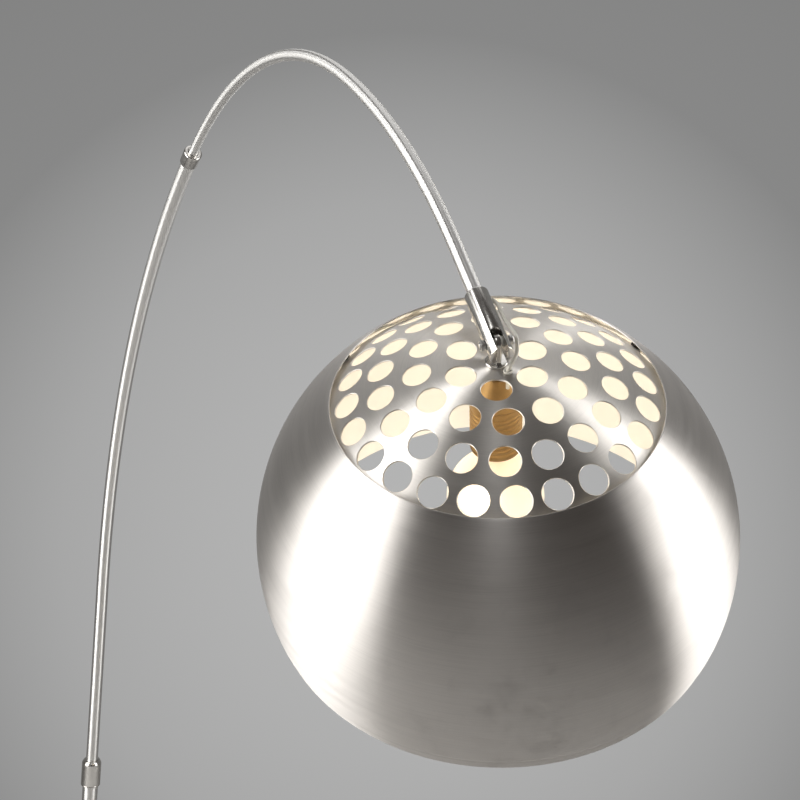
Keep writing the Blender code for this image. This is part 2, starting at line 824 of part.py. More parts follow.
def make_lead():
    sleeve_frame = SWIVEL_FRAME.matrix_world
    shade_frame = TILT_FRAME.matrix_world
    route = [sleeve_frame @ (Vector(p) * MM) for p in LEAD_BY_SLEEVE]
    route += [shade_frame @ (Vector(p) * MM) for p in LEAD_BY_SHADE]
    lead = baked(wire("head_lead", smooth_route(route, 3), LEAD_R, 8, capped=True), LEAD_PLASTIC)
    lead.data.transform(sleeve_frame.inverted())
    lead.parent = SWIVEL_FRAME
    surface = dome_height(math.hypot(*LEAD_HOLE_AT))
    turned(
        "lead_grommet",
        (
            (1.8, surface + 1.8),
            (3.0, surface + 1.8),
            (3.6, surface + 1.2),
            (3.6, surface + 0.4),
            (2.35, surface + 0.4),
            (2.35, surface - 3.0),
            (1.8, surface - 3.0),
        ),
        LEAD_PLASTIC,
        BALL_FRAME,
        (LEAD_HOLE_AT[0] * MM, LEAD_HOLE_AT[1] * MM, 0),
        steps=16,
    )


make_foot()
make_lower_tube()
make_middle_tube()
make_top_tube()
make_sleeve()
make_hanger()
make_dome()
make_shell()
make_lampholder()
make_bulb()
make_lead()
bpy.context.view_layer.update()
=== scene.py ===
"""Looks of the arc floor lamp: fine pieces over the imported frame, materials, studio and camera."""

import math

import bmesh
import bpy
import numpy as np
from mathutils import Matrix, Vector


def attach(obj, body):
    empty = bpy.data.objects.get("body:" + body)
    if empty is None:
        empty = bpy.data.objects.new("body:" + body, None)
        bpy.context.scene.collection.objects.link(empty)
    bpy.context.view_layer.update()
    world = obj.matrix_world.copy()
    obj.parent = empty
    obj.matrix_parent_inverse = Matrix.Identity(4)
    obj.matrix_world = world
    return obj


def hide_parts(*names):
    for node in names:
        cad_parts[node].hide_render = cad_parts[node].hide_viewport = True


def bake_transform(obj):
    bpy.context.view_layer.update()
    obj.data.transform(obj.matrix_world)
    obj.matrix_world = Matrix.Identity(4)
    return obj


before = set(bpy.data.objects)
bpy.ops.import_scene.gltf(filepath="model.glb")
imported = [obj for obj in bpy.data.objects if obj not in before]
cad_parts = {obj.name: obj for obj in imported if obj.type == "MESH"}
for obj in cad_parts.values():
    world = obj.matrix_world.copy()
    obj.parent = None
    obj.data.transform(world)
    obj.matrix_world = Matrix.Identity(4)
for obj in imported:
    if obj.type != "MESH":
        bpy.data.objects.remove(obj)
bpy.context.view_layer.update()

MM = 0.001

# The design's dimensions: metres for the arc, millimetres for turned profiles, radians for angles.
FOOT_R, FELT_TOP, SLAB_BOTTOM, SLAB_TOP = 200.0, 2.0, 2.3, 52.3
RECESS_R, RECESS_TOP = 35.0, 18.3
FLANGE_BOTTOM, SOCKET_FLOOR, SOCKET_TOP, TUBE_FOOT, LEAD_HEIGHT = 52.6, 58.6, 112.6, 60.0, 11.0
LOWER_R, LOWER_WALL = 0.0125, 0.0015
MIDDLE_R, MIDDLE_WALL = 0.0095, 0.0012
TOP_R, TOP_WALL = 0.0060, 0.0010
UPRIGHT, LOWER_BEND_R, LEAN, LOWER_STRAIGHT = 0.430, 1.500, math.radians(13.0), 0.280
MIDDLE_TAIL, MIDDLE_STRAIGHT, MIDDLE_BEND_R, MIDDLE_TURN = 0.170, 0.330, 0.900, math.radians(49.9)
TOP_TAIL, TOP_OVERLAP = 0.120, 0.020
CROWN_BEND_R, CROWN_TURN = 0.510, math.radians(54.4)
DROP_BEND_R, DROP_TURN = 0.770, math.radians(21.9)
TOP_STRAIGHT, TUBE_TO_PIVOT = 0.080, 0.020
HEAD_SWIVEL, HEAD_TILT = math.radians(-19.8), math.radians(77.7)
SHADE_DROP = 206.0
SHELL_R, SHELL_WALL = 200.0, 1.2
SHELL_TOP_ANGLE, SHELL_BOTTOM_ANGLE = math.radians(40.1), math.radians(105.4)
LINE_ABOVE_MOUTH, LINE_DEPTH, LIP_DEPTH = 11.5, 0.55, 0.35
DOME_R, DOME_CENTRE, DOME_WALL, DOME_EDGE_R = 203.5, -12.0, 1.2, 157.0
CROWN_DIP, CROWN_DIP_R, STEM_HOLE_R, HOLE_R = 5.3, 60.0, 5.3, 11.5
DOME_TURN = math.radians(-14.9)
HOLE_RINGS = ((30.5, 6, -4.0), (60.5, 12, 4.0), (89.5, 18, 0.0), (115.0, 24, 3.0), (142.0, 30, 6.0))
PAD_R = 137.0
LEAD_HOLE_AT = (12.8, 4.6)
LEAD_R = 0.0015
LEAD_BY_SLEEVE = (
    (0.0, 7.2, 41.0),
    (0.2, 10.2, 40.2),
    (0.6, 12.4, 35.0),
    (0.8, 12.5, 26.0),
    (1.0, 13.0, 16.0),
    (1.2, 14.8, 7.0),
    (1.2, 15.3, 0.0),
)
LEAD_BY_SHADE = (
    (5.0, 14.4, -6.3),
    (8.5, 11.5, -10.8),
    (11.7, 7.2, -14.0),
    (12.8, 4.7, -17.4),
    (12.8, 4.6, -22.0),
    (12.8, 4.6, -29.0),
    (12.8, 4.6, -35.2),
)

# Camera: near the head's height, almost level, looking across the arc from its outer side.
CAMERA_AT = Vector((2.25062, -0.48599, 1.71031))
CAMERA_AZIMUTH = math.radians(64.017)
CAMERA_PITCH = math.radians(-0.112)
CAMERA_ROLL = math.radians(0.291)
CAMERA_LENS = 58.66

SMOOTH, SHELL_SMOOTH, GLOBE_SMOOTH = math.radians(38), math.radians(50), math.radians(60)

# The globe's light, in metres from the ball's centre: its brightest spot, and the heights its glow changes over.
HOT_SPOT_AT, HOT_SPOT_REACH, HOT_SPOT_STRENGTH = (0.0221, -0.0214, 0.0716), 0.040, 7.0
GLOW_LOW, GLOW_SPAN, GLOW_STRENGTH = 0.006, 0.088, 0.40

# Soft boxes: name, degrees to the camera's right, metres above the ball and out from it, size, watts, colour.
WARM_WHITE, WHITE = (1.0, 0.99, 0.97), (1.0, 1.0, 1.0)
SOFT_BOXES = (
    ("left_box", -71, 0.15, 2.3, (1.7, 2.3), 56.0, WARM_WHITE),
    ("right_box", 86, 0.15, 2.3, (1.0, 2.3), 36.0, WARM_WHITE),
    ("left_key", -62, 1.7, 1.9, (0.9, 0.9), 17.0, WHITE),
    ("right_key", 72, 1.7, 1.9, (0.7, 0.7), 9.0, WHITE),
    ("front_strip", -3, 1.6, 1.6, (0.22, 0.80), 2.4, WHITE),
)
TOP_BOX_FROM_BALL = Vector((-0.5, 0.2, 1.9))
BULB_WATTS, BULB_COLOUR, BULB_SOFTNESS = 0.95, (1.0, 0.89, 0.73), 0.03

# The surround's colours, from behind the camera (0) to behind the lamp (1), and how far below level that is.
SURROUND_DIP = 0.10
SURROUND = (
    (0.00, (0.050, 0.044, 0.040)),
    (0.35, (0.060, 0.054, 0.050)),
    (0.55, (0.130, 0.126, 0.120)),
    (0.90, (0.200, 0.199, 0.197)),
    (0.965, (0.245, 0.245, 0.244)),
    (0.984, (0.385, 0.385, 0.384)),
    (1.00, (0.455, 0.455, 0.454)),
)

# The floor's radius in millimetres, and how far it lies below the felt in metres.
FLOOR_R, FLOOR_DROP = 3200.0, 0.0005

PIECES = []


# ---------------------------------------------------------------- frames of the joints


def walk(start, angle, legs):
    """Points along a line in the XZ plane; a leg is (length, bend radius or None, steps)."""
    points = [Vector(start)]
    for length, radius, steps in legs:
        step = length / steps
        for _ in range(steps):
            half_turn = step / radius / 2 if radius else 0.0
            chord = 2 * radius * math.sin(half_turn) if radius else step
            angle += half_turn
            points.append(points[-1] + chord * Vector((math.sin(angle), 0.0, math.cos(angle))))
            angle += half_turn
    return points, angle


LOWER_LEGS = ((UPRIGHT, None, 8), (LOWER_BEND_R * LEAN, LOWER_BEND_R, 16), (LOWER_STRAIGHT, None, 6))
LOWER_LINE, _ = walk((0, 0, TUBE_FOOT * MM), 0.0, LOWER_LEGS)
LOWER_END = LOWER_LINE[-1]
MIDDLE_LEGS = ((MIDDLE_STRAIGHT, None, 6), (MIDDLE_BEND_R * MIDDLE_TURN, MIDDLE_BEND_R, 48))
MIDDLE_LINE, UPPER_ANGLE = walk(LOWER_END, LEAN, MIDDLE_LEGS)
UPPER_END = MIDDLE_LINE[-1]
TOP_LEGS = (
    (TOP_OVERLAP, MIDDLE_BEND_R, 2),
    (CROWN_BEND_R * CROWN_TURN, CROWN_BEND_R, 44),
    (DROP_BEND_R * DROP_TURN, DROP_BEND_R, 18),
    (TOP_STRAIGHT, None, 3),
)
TOP_LINE, END_ANGLE = walk(UPPER_END, UPPER_ANGLE, TOP_LEGS)
END_WAY = Vector((math.sin(END_ANGLE), 0.0, math.cos(END_ANGLE)))
PIVOT = TOP_LINE[-1] + TUBE_TO_PIVOT * END_WAY

FLOOR_FRAME = Matrix()
COLLAR_FRAME = Matrix.Translation(LOWER_END) @ Matrix.Rotation(LEAN, 4, "Y")
UPPER_FRAME = Matrix.Translation(UPPER_END) @ Matrix.Rotation(UPPER_ANGLE, 4, "Y")
ARM_END_FRAME = Matrix.Translation(PIVOT) @ Matrix.Rotation(END_ANGLE - math.pi, 4, "Y")
SWIVEL_FRAME = ARM_END_FRAME @ Matrix.Rotation(HEAD_SWIVEL, 4, "Z")
TILT_FRAME = SWIVEL_FRAME @ Matrix.Rotation(HEAD_TILT, 4, "Y")
BALL_FRAME = TILT_FRAME @ Matrix.Translation((0, 0, -SHADE_DROP * MM))


# ---------------------------------------------------------------- materials


def set_stops(elements, stops):
    """Sets a colour ramp's elements; each stop is (position, colour or number)."""
    while len(elements) < len(stops):
        elements.new(0.5)
    for element, (position, colour) in zip(elements, stops):
        element.position = position
        element.color = (colour,) * 3 + (1,) if isinstance(colour, (int, float)) else (*colour, 1)


class Look:
    """A material's node graph, with short ways to add the nodes that the finishes share."""

    def __init__(self, name, **sockets):
        self.material = bpy.data.materials.new(name)
        self.material.use_nodes = True
        self.tree = self.material.node_tree
        self.shader = self.tree.nodes["Principled BSDF"]
        for socket, value in sockets.items():
            self.shader.inputs[socket.replace("_", " ")].default_value = value

    def add(self, kind, inputs=(), **settings):
        node = self.tree.nodes.new("ShaderNode" + kind)
        for key, value in settings.items():
            setattr(node, key, value)
        for key, value in dict(inputs).items():
            self.feed(node.inputs[key], value)
        return node

    def feed(self, socket, value):
        if isinstance(value, bpy.types.NodeSocket):
            self.tree.links.new(value, socket)
        else:
            socket.default_value = value

    def put(self, **sockets):
        for socket, value in sockets.items():
            self.feed(self.shader.inputs[socket.replace("_", " ")], value)

    def maths(self, operation, a, b=0.0):
        return self.add("Math", {0: a, 1: b}, operation=operation).outputs[0]

    def here(self, attribute=None):
        """The point in the shared frame or, by an attribute, in the piece's or the unbent tube's own."""
        if attribute:
            return self.add("Attribute", attribute_name=attribute).outputs["Vector"]
        return self.add("TexCoord").outputs["Object"]

    def scaled(self, vector, by):
        return self.add("VectorMath", {0: vector, 1: by}, operation="MULTIPLY").outputs[0]

    def around(self, vector, turns, pitch):
        """A vector that changes slowly round the Z axis and quickly along it: the lay of a lathe's brush."""
        split = self.add("SeparateXYZ", {0: vector})
        x, y, z = split.outputs
        flat = self.add("CombineXYZ", {0: x, 1: y, 2: 0.0}).outputs[0]
        unit = self.add("VectorMath", {0: flat}, operation="NORMALIZE").outputs[0]
        wide = self.scaled(unit, (turns, turns, 0.0))
        radius = self.add("VectorMath", {0: flat}, operation="LENGTH").outputs["Value"]
        rise = self.maths("MULTIPLY", self.maths("ADD", z, self.maths("MULTIPLY", radius, -1.0)), pitch)
        tall = self.add("CombineXYZ", {2: rise}).outputs[0]
        return self.add("VectorMath", {0: wide, 1: tall}, operation="ADD").outputs[0]

    def noise(self, vector, detail, rough):
        inputs = {"Vector": vector, "Scale": 1.0, "Detail": detail, "Roughness": rough}
        return self.add("TexNoise", inputs).outputs["Fac"]

    def mottle(self, place, scale, detail, rough):
        """Noise over the place, by one scale or by a scale for each axis."""
        by = (scale,) * 3 if isinstance(scale, float) else scale
        return self.noise(self.scaled(place, by), detail, rough)

    def graded(self, value, gain, lift):
        return self.maths("ADD", self.maths("MULTIPLY", value, gain), lift)

    def ramp(self, value, *stops):
        """Maps a value to a colour or a grey."""
        node = self.add("ValToRGB", {0: value})
        set_stops(node.color_ramp.elements, stops)
        return node.outputs[0]

    def mix(self, factor, a, b):
        node = self.add("Mix", data_type="RGBA")
        self.feed(node.inputs["Factor"], factor)
        self.feed(node.inputs["A"], a if isinstance(a, bpy.types.NodeSocket) else (*a, 1))
        self.feed(node.inputs["B"], b if isinstance(b, bpy.types.NodeSocket) else (*b, 1))
        return node.outputs["Result"]

    def bump(self, height, distance, strength):
        return self.add("Bump", {"Height": height, "Distance": distance, "Strength": strength}).outputs[0]

    def brush_round(self):
        """Lays the brush along the piece's own turns, which settle() writes as a UV map."""
        self.put(Tangent=self.add("Tangent", direction_type="UV_MAP", uv_map="lathe").outputs[0])


def brushed_metal(name, colour, roughness, anisotropic, turns, pitch):
    """Metal brushed round the piece's Z axis, with fine lines, faint broad bands and a few dull marks."""
    spread, dirt = 0.10, 0.12
    look = Look(name, Metallic=1.0, Anisotropic=anisotropic, Anisotropic_Rotation=0.25)
    place = look.here("own")
    lay = look.around(place, turns, pitch)
    fine = look.noise(lay, 6.0, 0.7)
    broad = look.noise(look.around(place, turns * 0.4, pitch * 0.07), 3.0, 0.5)
    marks = look.mottle(place, 34.0, 5.0, 0.62)
    lines = look.maths("ADD", look.maths("MULTIPLY", fine, 0.65), look.maths("MULTIPLY", broad, 0.35))
    low, high = [c * (1 - spread) for c in colour], [min(1.0, c * (1 + spread * 0.7)) for c in colour]
    toned = look.ramp(lines, (0.32, low), (0.50, colour), (0.68, high))
    dull = look.ramp(marks, (0.56, 0.0), (0.72, 1.0))
    dirty = [c * (1 - dirt) for c in colour]
    base = look.mix(look.maths("MULTIPLY", dull, 0.35), toned, dirty)
    rough = look.graded(lines, roughness * 0.7, roughness * 0.65)
    rough = look.maths("ADD", rough, look.maths("MULTIPLY", dull, 0.05))
    look.brush_round()
    look.put(Base_Color=base, Roughness=rough, Normal=look.bump(lines, 0.00002, 0.35))
    return look.material


def along_metal(name, colour, roughness, anisotropic):
    """Satin polished tube: fine lines round it, long faint draw marks, and a little handling haze."""
    look = Look(name, Metallic=1.0, Anisotropic=anisotropic, Anisotropic_Rotation=0.25)
    place = look.here("unbent")
    fine = look.noise(look.around(place, 1.3, 420.0), 3.0, 0.5)
    drawn = look.mottle(place, (300.0, 300.0, 5.0), 4.0, 0.55)
    haze = look.mottle(place, (30.0, 30.0, 14.0), 5.0, 0.6)
    low, high = [c * 0.95 for c in colour], [min(1.0, c * 1.03) for c in colour]
    toned = look.ramp(drawn, (0.30, low), (0.55, colour), (0.75, high))
    film = look.ramp(haze, (0.52, 0.0), (0.75, 1.0))
    base = look.mix(look.maths("MULTIPLY", film, 0.25), toned, [c * 0.88 for c in colour])
    rough = look.graded(fine, roughness * 0.2, roughness * 0.9)
    rough = look.maths("ADD", rough, look.maths("MULTIPLY", film, 0.04))
    look.brush_round()
    look.put(Base_Color=base, Roughness=rough, Normal=look.bump(fine, 0.000004, 0.1))
    return look.material


def plain_metal(name, colour, roughness, attribute="own"):
    """Small turned or plated parts: fine grain, tool marks and darker, duller patches."""
    look = Look(name, Metallic=1.0)
    place = look.here(attribute)
    fine = look.noise(look.around(place, 1.5, 900.0), 5.0, 0.6)
    patch = look.mottle(place, 110.0, 4.0, 0.6)
    base = look.mix(look.ramp(patch, (0.42, 0.0), (0.70, 0.6)), colour, [c * 0.72 for c in colour])
    rough = look.graded(fine, 0.16, roughness - 0.05)
    rough = look.maths("ADD", rough, look.maths("MULTIPLY", patch, 0.10))
    look.put(Base_Color=base, Roughness=rough, Normal=look.bump(fine, 0.00003, 0.4))
    return look.material


def enamel(name, colour, roughness):
    """Sprayed enamel with a faint orange peel and a slightly uneven tone."""
    look = Look(name, Specular_IOR_Level=0.5)
    place = look.here()
    peel = look.mottle(place, 420.0, 3.0, 0.5)
    tone = look.mottle(place, 9.0, 3.0, 0.5)
    base = look.mix(look.ramp(tone, (0.35, 0.0), (0.70, 1.0)), colour, [c * 0.93 for c in colour])
    rough = look.graded(peel, 0.14, roughness - 0.07)
    look.put(Base_Color=base, Roughness=rough, Normal=look.bump(peel, 0.00004, 0.4))
    return look.material


def plastic(name, colour, roughness, grain=700.0, **sockets):
    look = Look(name, **sockets)
    place = look.here()
    fine = look.mottle(place, grain, 4.0, 0.6)
    tone = look.mottle(place, 45.0, 3.0, 0.5)
    base = look.mix(look.ramp(tone, (0.35, 0.0), (0.70, 1.0)), colour, [c * 0.86 for c in colour])
    rough = look.graded(fine, 0.18, roughness - 0.09)
    look.put(Base_Color=base, Roughness=rough, Normal=look.bump(fine, 0.00005, 0.4))
    return look.material


def stone(name):
    """Honed black granite: fine crystals, pale flecks and slow cloudy veins."""
    look = Look(name, Specular_IOR_Level=0.5)
    place = look.here()
    clouds = look.mottle(place, 8.0, 8.0, 0.6)
    grains = look.add(
        "TexVoronoi", {"Vector": look.scaled(place, (420.0, 420.0, 420.0)), "Scale": 1.0}, feature="F1"
    )
    cells = look.ramp(grains.outputs["Distance"], (0.05, 1.0), (0.55, 0.0))
    flecks = look.ramp(look.mottle(place, 260.0, 3.0, 0.6), (0.60, 0.0), (0.70, 1.0))
    dark = look.mix(clouds, (0.014, 0.014, 0.016), (0.042, 0.042, 0.046))
    grained = look.mix(look.maths("MULTIPLY", cells, 0.35), dark, (0.075, 0.075, 0.080))
    base = look.mix(look.maths("MULTIPLY", flecks, 0.55), grained, (0.20, 0.20, 0.21))
    rough = look.maths("ADD", look.maths("MULTIPLY", cells, 0.10), look.maths("MULTIPLY", clouds, 0.22))
    rough = look.maths("ADD", rough, 0.12)
    look.put(Base_Color=base, Roughness=rough, Normal=look.bump(cells, 0.00004, 0.25))
    return look.material


def felt(name):
    look = Look(name, Roughness=0.95, Sheen_Weight=0.5, Sheen_Roughness=0.5)
    place = look.here()
    fibres = look.mottle(place, 1500.0, 8.0, 0.75)
    base = look.ramp(fibres, (0.30, (0.05, 0.05, 0.05)), (0.70, (0.17, 0.17, 0.17)))
    look.put(Base_Color=base, Normal=look.bump(fibres, 0.0004, 0.8))
    return look.material


def opal(name):
    """Lit opal glass: brightest at one spot, and warmer and dimmer towards the neck and the tip."""
    look = Look(name, Roughness=0.22, Specular_IOR_Level=0.5)
    look.put(Base_Color=(1.0, 0.93, 0.82, 1.0))
    place = look.here("own")
    split = look.add("SeparateXYZ", {0: place})
    height = look.maths("MULTIPLY", look.maths("ADD", split.outputs[2], -GLOW_LOW), 1 / GLOW_SPAN)
    mottled = look.mottle(place, 60.0, 3.0, 0.5)
    wavy = look.maths("ADD", height, look.maths("MULTIPLY", look.maths("ADD", mottled, -0.5), 0.06))
    glow = look.ramp(
        wavy,
        (0.00, (0.80, 0.62, 0.42)),
        (0.35, (0.92, 0.80, 0.62)),
        (0.60, (0.95, 0.84, 0.66)),
        (0.85, (0.86, 0.66, 0.42)),
        (1.00, (0.50, 0.30, 0.14)),
    )
    away = look.add("VectorMath", {0: place, 1: HOT_SPOT_AT}, operation="DISTANCE").outputs["Value"]
    share = look.maths("MULTIPLY", away, 1 / HOT_SPOT_REACH)
    near = look.ramp(share, (0.0, 1.0), (0.12, 0.6), (0.32, 0.1), (0.55, 0.0))
    hot = look.maths("MULTIPLY", near, HOT_SPOT_STRENGTH)
    look.put(Emission_Strength=look.maths("ADD", GLOW_STRENGTH, hot))
    look.put(Emission_Color=glow)
    return look.material


def pale_floor(name):
    look = Look(name, Roughness=0.7)
    place = look.here()
    cloud = look.mottle(place, 1.5, 4.0, 0.5)
    look.put(Base_Color=look.ramp(cloud, (0.3, (0.60, 0.595, 0.585)), (0.7, (0.66, 0.655, 0.645))))
    return look.material


STONE = stone("honed_stone")
FELT = felt("pressed_felt")
TUBE = along_metal("satin_tube", (0.90, 0.89, 0.87), 0.42, 0.85)
FLANGE = brushed_metal("turned_flange", (0.70, 0.685, 0.66), 0.24, 0.6, 2.0, 1600.0)
COLLAR = brushed_metal("polished_collar", (0.72, 0.70, 0.67), 0.24, 0.5, 1.5, 2600.0)
SHELL_OUTSIDE = brushed_metal("brushed_shell", (0.72, 0.69, 0.66), 0.43, 0.96, 3.3, 1300.0)
DOME_OUTSIDE = brushed_metal("brushed_dome", (0.76, 0.73, 0.69), 0.50, 0.93, 3.0, 1500.0)
SHELL_INSIDE = enamel("white_enamel", (0.86, 0.83, 0.77), 0.38)
SCREW = plain_metal("plated_screw", (0.66, 0.65, 0.63), 0.26)
WASHER = plain_metal("plated_washer", (0.66, 0.65, 0.63), 0.26, None)
NYLON = plastic("nylon", (0.80, 0.79, 0.74), 0.45)
RUBBER = plastic("black_rubber", (0.022, 0.021, 0.020), 0.62)
# The lampholder gets a dark brown: partly the holder's own brass, partly painted shade for the shadow it hangs
# in above the bulb.
BRASS_AND_PAINTED_SHADE = plain_metal("brass_and_painted_shade", (0.38, 0.235, 0.095), 0.34)
SPRING_BRASS = plain_metal("spring_brass", (0.50, 0.33, 0.14), 0.30, None)
CAP_METAL = plain_metal("rolled_cap", (0.72, 0.72, 0.73), 0.28)
OPAL = opal("lit_opal")
SHEATH = plastic("clear_sheath", (0.90, 0.87, 0.78), 0.24, 260.0, Transmission_Weight=0.12, Coat_Weight=0.5)
GLAND = plastic("moulded_gland", (0.028, 0.028, 0.028), 0.45)


# ---------------------------------------------------------------- shapes


def linked(name, data):
    """A new object of the data, in the scene."""
    made = bpy.data.objects.new(name, data)
    bpy.context.scene.collection.objects.link(made)
    return made


def object_of(shape, name, looks, place, body, stands_for, smooth=SMOOTH):
    """The bmesh as a named piece in its frame, riding on its body and standing for its CAD node."""
    mesh = bpy.data.meshes.new(name)
    shape.to_mesh(mesh)
    shape.free()
    for look in looks:
        mesh.materials.append(look)
    mesh.shade_smooth()
    if smooth:
        mesh.set_sharp_from_angle(angle=smooth)
    piece = linked(name, mesh)
    piece.matrix_world = place
    if body:
        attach(piece, body)
        PIECES.append(piece)
    if stands_for:
        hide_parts(stands_for)
    return piece


def settle():
    """Moves each fine piece's mesh into the shared frame. The attribute "own" keeps each point's own place,
    and the UV map "lathe" holds its turn round the piece's axis and its way along it."""
    for piece in PIECES:
        mesh = piece.data
        points = np.empty(len(mesh.vertices) * 3, np.float32)
        mesh.vertices.foreach_get("co", points)
        mesh.attributes.new("own", "FLOAT_VECTOR", "POINT").data.foreach_set("vector", points)
        if "unbent" in mesh.attributes:
            mesh.attributes["unbent"].data.foreach_get("vector", points)
        corners = np.empty(len(mesh.loops), np.int32)
        mesh.loops.foreach_get("vertex_index", corners)
        starts = np.empty(len(mesh.polygons), np.int32)
        counts = np.empty(len(mesh.polygons), np.int32)
        mesh.polygons.foreach_get("loop_start", starts)
        mesh.polygons.foreach_get("loop_total", counts)
        x, y, z = points.reshape(-1, 3)[corners].T.astype(float)
        turned_by = np.arctan2(y, x) / (2 * math.pi)
        turned_by += np.round(np.repeat(turned_by[starts], counts) - turned_by)
        along = (z - np.hypot(x, y)) * 10
        mesh.uv_layers.new(name="lathe").data.foreach_set("uv", np.stack([turned_by, along], 1).ravel())
        mesh.transform(piece.matrix_world)
        piece.matrix_world = Matrix()


def filleted(points, radius, segments=4):
    """The closed or open profile with each inner corner rounded."""
    made = [Vector(points[0])]
    for before, corner, after in zip(points, points[1:], points[2:]):
        corner = Vector(corner)
        back, on = Vector(before) - corner, Vector(after) - corner
        cut = min(radius, back.length * 0.45, on.length * 0.45)
        start, end = corner + back.normalized() * cut, corner + on.normalized() * cut
        for k in range(segments + 1):
            t = k / segments
            made.append((1 - t) ** 2 * start + 2 * t * (1 - t) * corner + t * t * end)
    made.append(Vector(points[-1]))
    return made


def lathe(profile, steps, wave=None):
    """A bmesh turned round Z from (radius, height) points in mm, a closed ring if it starts off the axis."""
    shape = bmesh.new()
    rings = []
    for radius, height in profile:
        if radius < 1e-6:
            rings.append([shape.verts.new((0, 0, height * MM))])
            continue
        ring = []
        for k in range(steps):
            angle = 2 * math.pi * k / steps
            r = (radius + (wave(angle, height) if wave else 0.0)) * MM
            ring.append(shape.verts.new((r * math.cos(angle), r * math.sin(angle), height * MM)))
        rings.append(ring)
    if len(rings[0]) > 1:
        rings.append(rings[0])
    for first, second in zip(rings, rings[1:]):
        for k in range(steps):
            n = (k + 1) % steps
            if len(first) == 1:
                corners = (first[0], second[k], second[n])
            elif len(second) == 1:
                corners = (first[k], second[0], first[n])
            else:
                corners = (first[k], second[k], second[n], first[n])
            shape.faces.new(corners)
    bmesh.ops.recalc_face_normals(shape, faces=shape.faces)
    return shape


def turned(name, profile, look, place, body, stands_for, steps, fillet):
    """A turned piece with rounded edges: solid if its profile starts and ends on the axis, else a ring."""
    if profile[0][0] == 0 and profile[-1][0] == 0:
        rounded = filleted(profile, fillet)
    else:
        rounded = filleted([*profile, profile[0], profile[1]], fillet)[1:-1]
    return object_of(lathe(rounded, steps), name, [look], place, body, stands_for)


def tube(name, line, radius, wall, place, body, stands_for, sides=72):
    """A hollow tube along a line in the XZ plane, with rounded rims and its unbent place on each point."""
    shape = bmesh.new()
    layer = shape.verts.layers.float_vector.new("unbent")
    lip = 0.0004
    ways = []
    for k in range(len(line)):
        way = line[min(k + 1, len(line) - 1)] - line[max(k - 1, 0)]
        ways.append(way.normalized())
    lengths = [0.0]
    for a, b in zip(line, line[1:]):
        lengths.append(lengths[-1] + (b - a).length)
    rows = [(line[0] + ways[0] * lip, ways[0], radius, lip)]
    rows += [(p, w, radius, s) for p, w, s in zip(line[1:-1], ways[1:-1], lengths[1:-1])]
    rows.append((line[-1] - ways[-1] * lip, ways[-1], radius, lengths[-1] - lip))
    for turn in (30, 60):
        out = radius - lip + lip * math.cos(math.radians(turn))
        back = lip * (1 - math.sin(math.radians(turn)))
        rows.append((line[-1] - ways[-1] * back, ways[-1], out, lengths[-1] - back))
    rows.append((line[-1], ways[-1], radius - lip, lengths[-1]))
    rows.append((line[-1], ways[-1], radius - wall, lengths[-1]))
    rows += [(p, w, radius - wall, s) for p, w, s in list(zip(line[1:-1], ways[1:-1], lengths[1:-1]))[::-1]]
    rows.append((line[0], ways[0], radius - wall, 0.0))
    rows.append((line[0], ways[0], radius - lip, 0.0))
    rings = []
    inverse = place.inverted()
    for centre, way, r, along in rows:
        side = Vector((0.0, 1.0, 0.0))
        out = side.cross(way).normalized()
        ring = []
        for k in range(sides):
            angle = 2 * math.pi * k / sides
            c, s = math.cos(angle), math.sin(angle)
            vert = shape.verts.new(inverse @ (centre + r * (c * out + s * side)))
            vert[layer] = (r * c, r * s, along)
            ring.append(vert)
        rings.append(ring)
    for first, second in zip(rings, rings[1:] + rings[:1]):
        for k in range(sides):
            n = (k + 1) % sides
            shape.faces.new((first[k], first[n], second[n], second[k]))
    bmesh.ops.recalc_face_normals(shape, faces=shape.faces)
    return object_of(shape, name, [TUBE], place, body, stands_for)


def prism(points, half_thickness):
    """A flat outline in mm, as a closed bmesh, in the XY plane."""
    shape = bmesh.new()
    low = [shape.verts.new((x * MM, y * MM, -half_thickness)) for x, y in points]
    high = [shape.verts.new((x * MM, y * MM, half_thickness)) for x, y in points]
    shape.faces.new(low[::-1])
    shape.faces.new(high)
    for k in range(len(points)):
        n = (k + 1) % len(points)
        shape.faces.new((low[k], low[n], high[n], high[k]))
    bmesh.ops.recalc_face_normals(shape, faces=shape.faces)
    return shape


def rod(radius, depth, sides=40):
    shape = bmesh.new()
    bmesh.ops.create_cone(shape, cap_ends=True, segments=sides, radius1=radius, radius2=radius, depth=depth)
    return shape


def tool_of(shape, place):
    mesh = bpy.data.meshes.new("tool")
    shape.to_mesh(mesh)
    shape.free()
    tool = linked("tool", mesh)
    tool.matrix_world = place
    return tool


def carve(piece, tools, looks, bevel=0.0002):
    """Applies the booleans and a small bevel to the piece's own mesh. A tool is (bmesh, place, operation)."""
    made = []
    for shape, place, operation in tools:
        tool = tool_of(shape, place)
        made.append(tool)
        cut = piece.modifiers.new("cut", "BOOLEAN")
        cut.operation = operation
        cut.solver = "EXACT"
        cut.object = tool
    if bevel:
        edge = piece.modifiers.new("edge", "BEVEL")
        edge.width = bevel
        edge.segments = 2
        edge.limit_method = "ANGLE"
        edge.angle_limit = math.radians(50)
        edge.use_clamp_overlap = True
    bpy.context.view_layer.update()
    graph = bpy.context.evaluated_depsgraph_get()
    mesh = bpy.data.meshes.new_from_object(piece.evaluated_get(graph))
    piece.modifiers.clear()
    old = piece.data
    piece.data = mesh
    bpy.data.meshes.remove(old)
    for tool in made:
        bpy.data.objects.remove(tool, do_unlink=True)
    mesh.materials.clear()
    for look in looks:
        mesh.materials.append(look)
    mesh.shade_smooth()
    mesh.set_sharp_from_angle(angle=SMOOTH)
    return piece


def turn(axis, degrees):
    return Matrix.Rotation(math.radians(degrees), 4, axis)


def at(x, y, z):
    return Matrix.Translation((x * MM, y * MM, z * MM))


